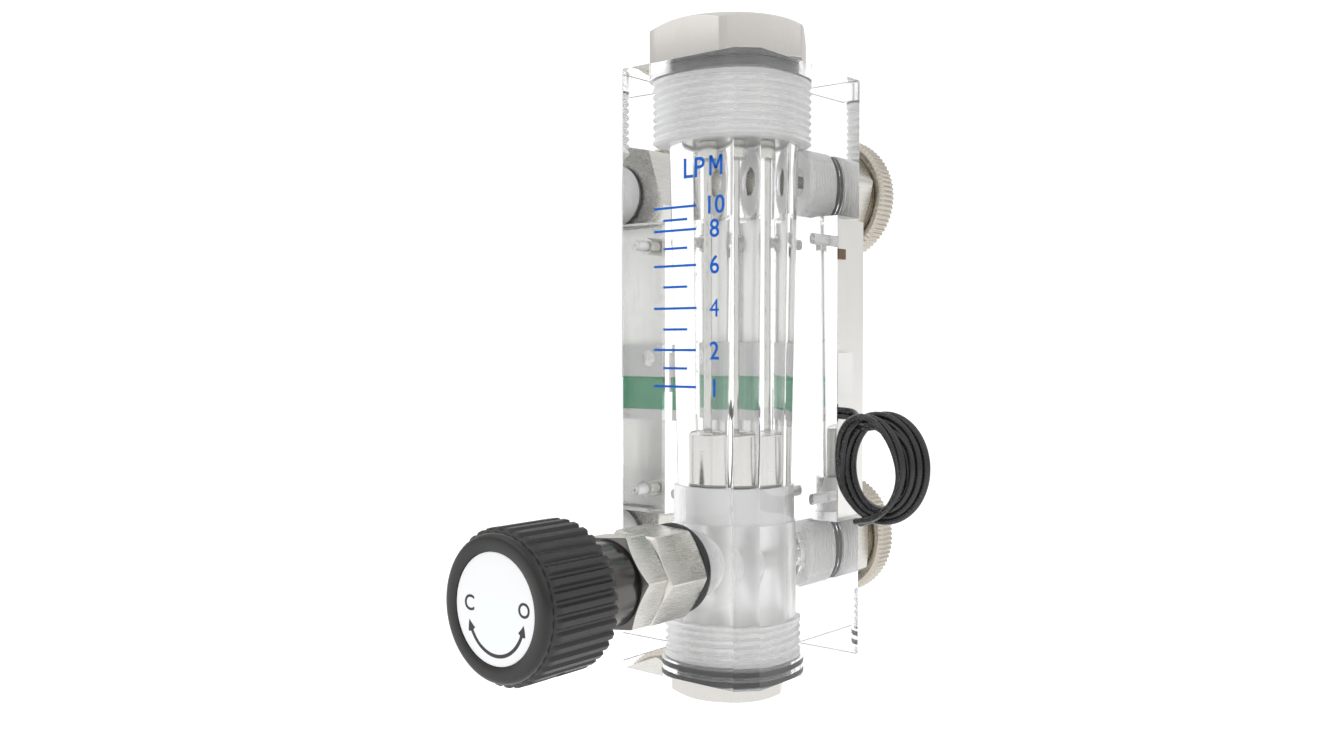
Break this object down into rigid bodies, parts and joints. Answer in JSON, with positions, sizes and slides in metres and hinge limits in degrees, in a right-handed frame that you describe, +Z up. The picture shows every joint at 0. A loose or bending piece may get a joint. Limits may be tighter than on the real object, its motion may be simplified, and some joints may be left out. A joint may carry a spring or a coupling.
{
  "type": "rotameter",
  "caption": "Clear block variable-area flow meter with guided float, needle valve knob, rear threaded ports with panel nuts, and a sliding limit switch with coiled cable.",
  "frame": {"origin": "centre of the inlet adapter's rear mouth", "axes": "+Z up along the metering tube, +Y rearwards out of the ports, +X to the right as seen from the front"},
  "size_m": [0.0774, 0.1531, 0.1784],
  "materials": {
    "clear_acrylic": "polished, clear",
    "stainless": "fine turned and brushed",
    "black_rubber": "satin",
    "magnet": "sintered",
    "seat_plastic": "machined",
    "knob_plastic": "satin moulded",
    "brass": "turned",
    "black_steel": "blackened",
    "label_white": "printed disc",
    "rail_aluminium": "extruded, anodised",
    "brown_clip": "bronzed",
    "white_plastic": "moulded",
    "board_green": "solder mask",
    "reed_glass": "clear",
    "cable_black": "satin jacket"
  },
  "bodies": {
    "root": {"acrylic_block": "clear_acrylic", "top_plug": "stainless", "top_plug_o_ring": "black_rubber", "bottom_plug": "stainless", "bottom_plug_o_ring": "black_rubber", "guide_rod": "stainless", "rod_stop_sleeve": "stainless", "float_seat": "stainless", "upper_port_adapter": "stainless", "upper_port_o_ring": "black_rubber", "lower_port_adapter": "stainless", "lower_port_o_ring": "black_rubber", "valve_body": "stainless", "valve_body_o_ring": "black_rubber", "valve_bonnet": "stainless", "bonnet_collar": "black_steel", "valve_seat": "seat_plastic", "switch_rail": "rail_aluminium", "rail_screws": "stainless", "rail_spacers": "stainless", "slider_stop": "brown_clip"},
    "float": {"float_body": "stainless", "float_magnet": "magnet", "float_cap": "stainless"},
    "stem_seal": {"stem_o_ring": "black_rubber"},
    "knob": {"valve_stem": "stainless", "knob": "knob_plastic", "knob_insert": "brass", "knob_set_screw": "black_steel", "knob_label": "label_white"},
    "upper_washer": {"upper_panel_washer": "stainless"},
    "upper_nut": {"upper_panel_nut": "stainless"},
    "lower_washer": {"lower_panel_washer": "stainless"},
    "lower_nut": {"lower_panel_nut": "stainless"},
    "slider": {"slider": "white_plastic", "switch_board": "board_green", "reed_switch": "reed_glass", "slider_screw": "stainless", "cable_grommet": "black_rubber", "switch_cable": "cable_black", "cable_coil": "cable_black"}
  },
  "joints": [
    {"name": "float_rise", "type": "slide", "parent": "root", "child": "float", "axis": [0, 0, 1], "range_m": [0, 0.0725]},
    {"name": "stem_advance", "type": "slide", "parent": "root", "child": "stem_seal", "axis": [0, -1, 0], "range_m": [0, 0.00301]},
    {"name": "knob_turn", "type": "hinge", "parent": "stem_seal", "child": "knob", "pos_m": [0, -0.12, 0], "axis": [0, -1, 0], "range_deg": [0, 1440]},
    {"name": "switch_slide", "type": "slide", "parent": "root", "child": "slider", "axis": [0, 0, 1], "range_m": [-0.017, 0.023]},
    {"name": "upper_washer_back", "type": "slide", "parent": "root", "child": "upper_washer", "axis": [0, 1, 0], "range_m": [0, 0.00526]},
    {"name": "upper_nut_turn", "type": "hinge", "parent": "upper_washer", "child": "upper_nut", "pos_m": [0, -0.012, 0.102], "axis": [0, 1, 0], "range_deg": [0, 1260]},
    {"name": "lower_washer_back", "type": "slide", "parent": "root", "child": "lower_washer", "axis": [0, 1, 0], "range_m": [0, 0.00526]},
    {"name": "lower_nut_turn", "type": "hinge", "parent": "lower_washer", "child": "lower_nut", "pos_m": [0, -0.012, 0], "axis": [0, 1, 0], "range_deg": [0, 1260]}
  ],
  "couplings": [
    {"joint": "stem_advance", "follows": "knob_turn", "m_per_rad": 0.00011937},
    {"joint": "upper_washer_back", "follows": "upper_nut_turn", "m_per_rad": 0.00023873},
    {"joint": "lower_washer_back", "follows": "lower_nut_turn", "m_per_rad": 0.00023873}
  ]
}
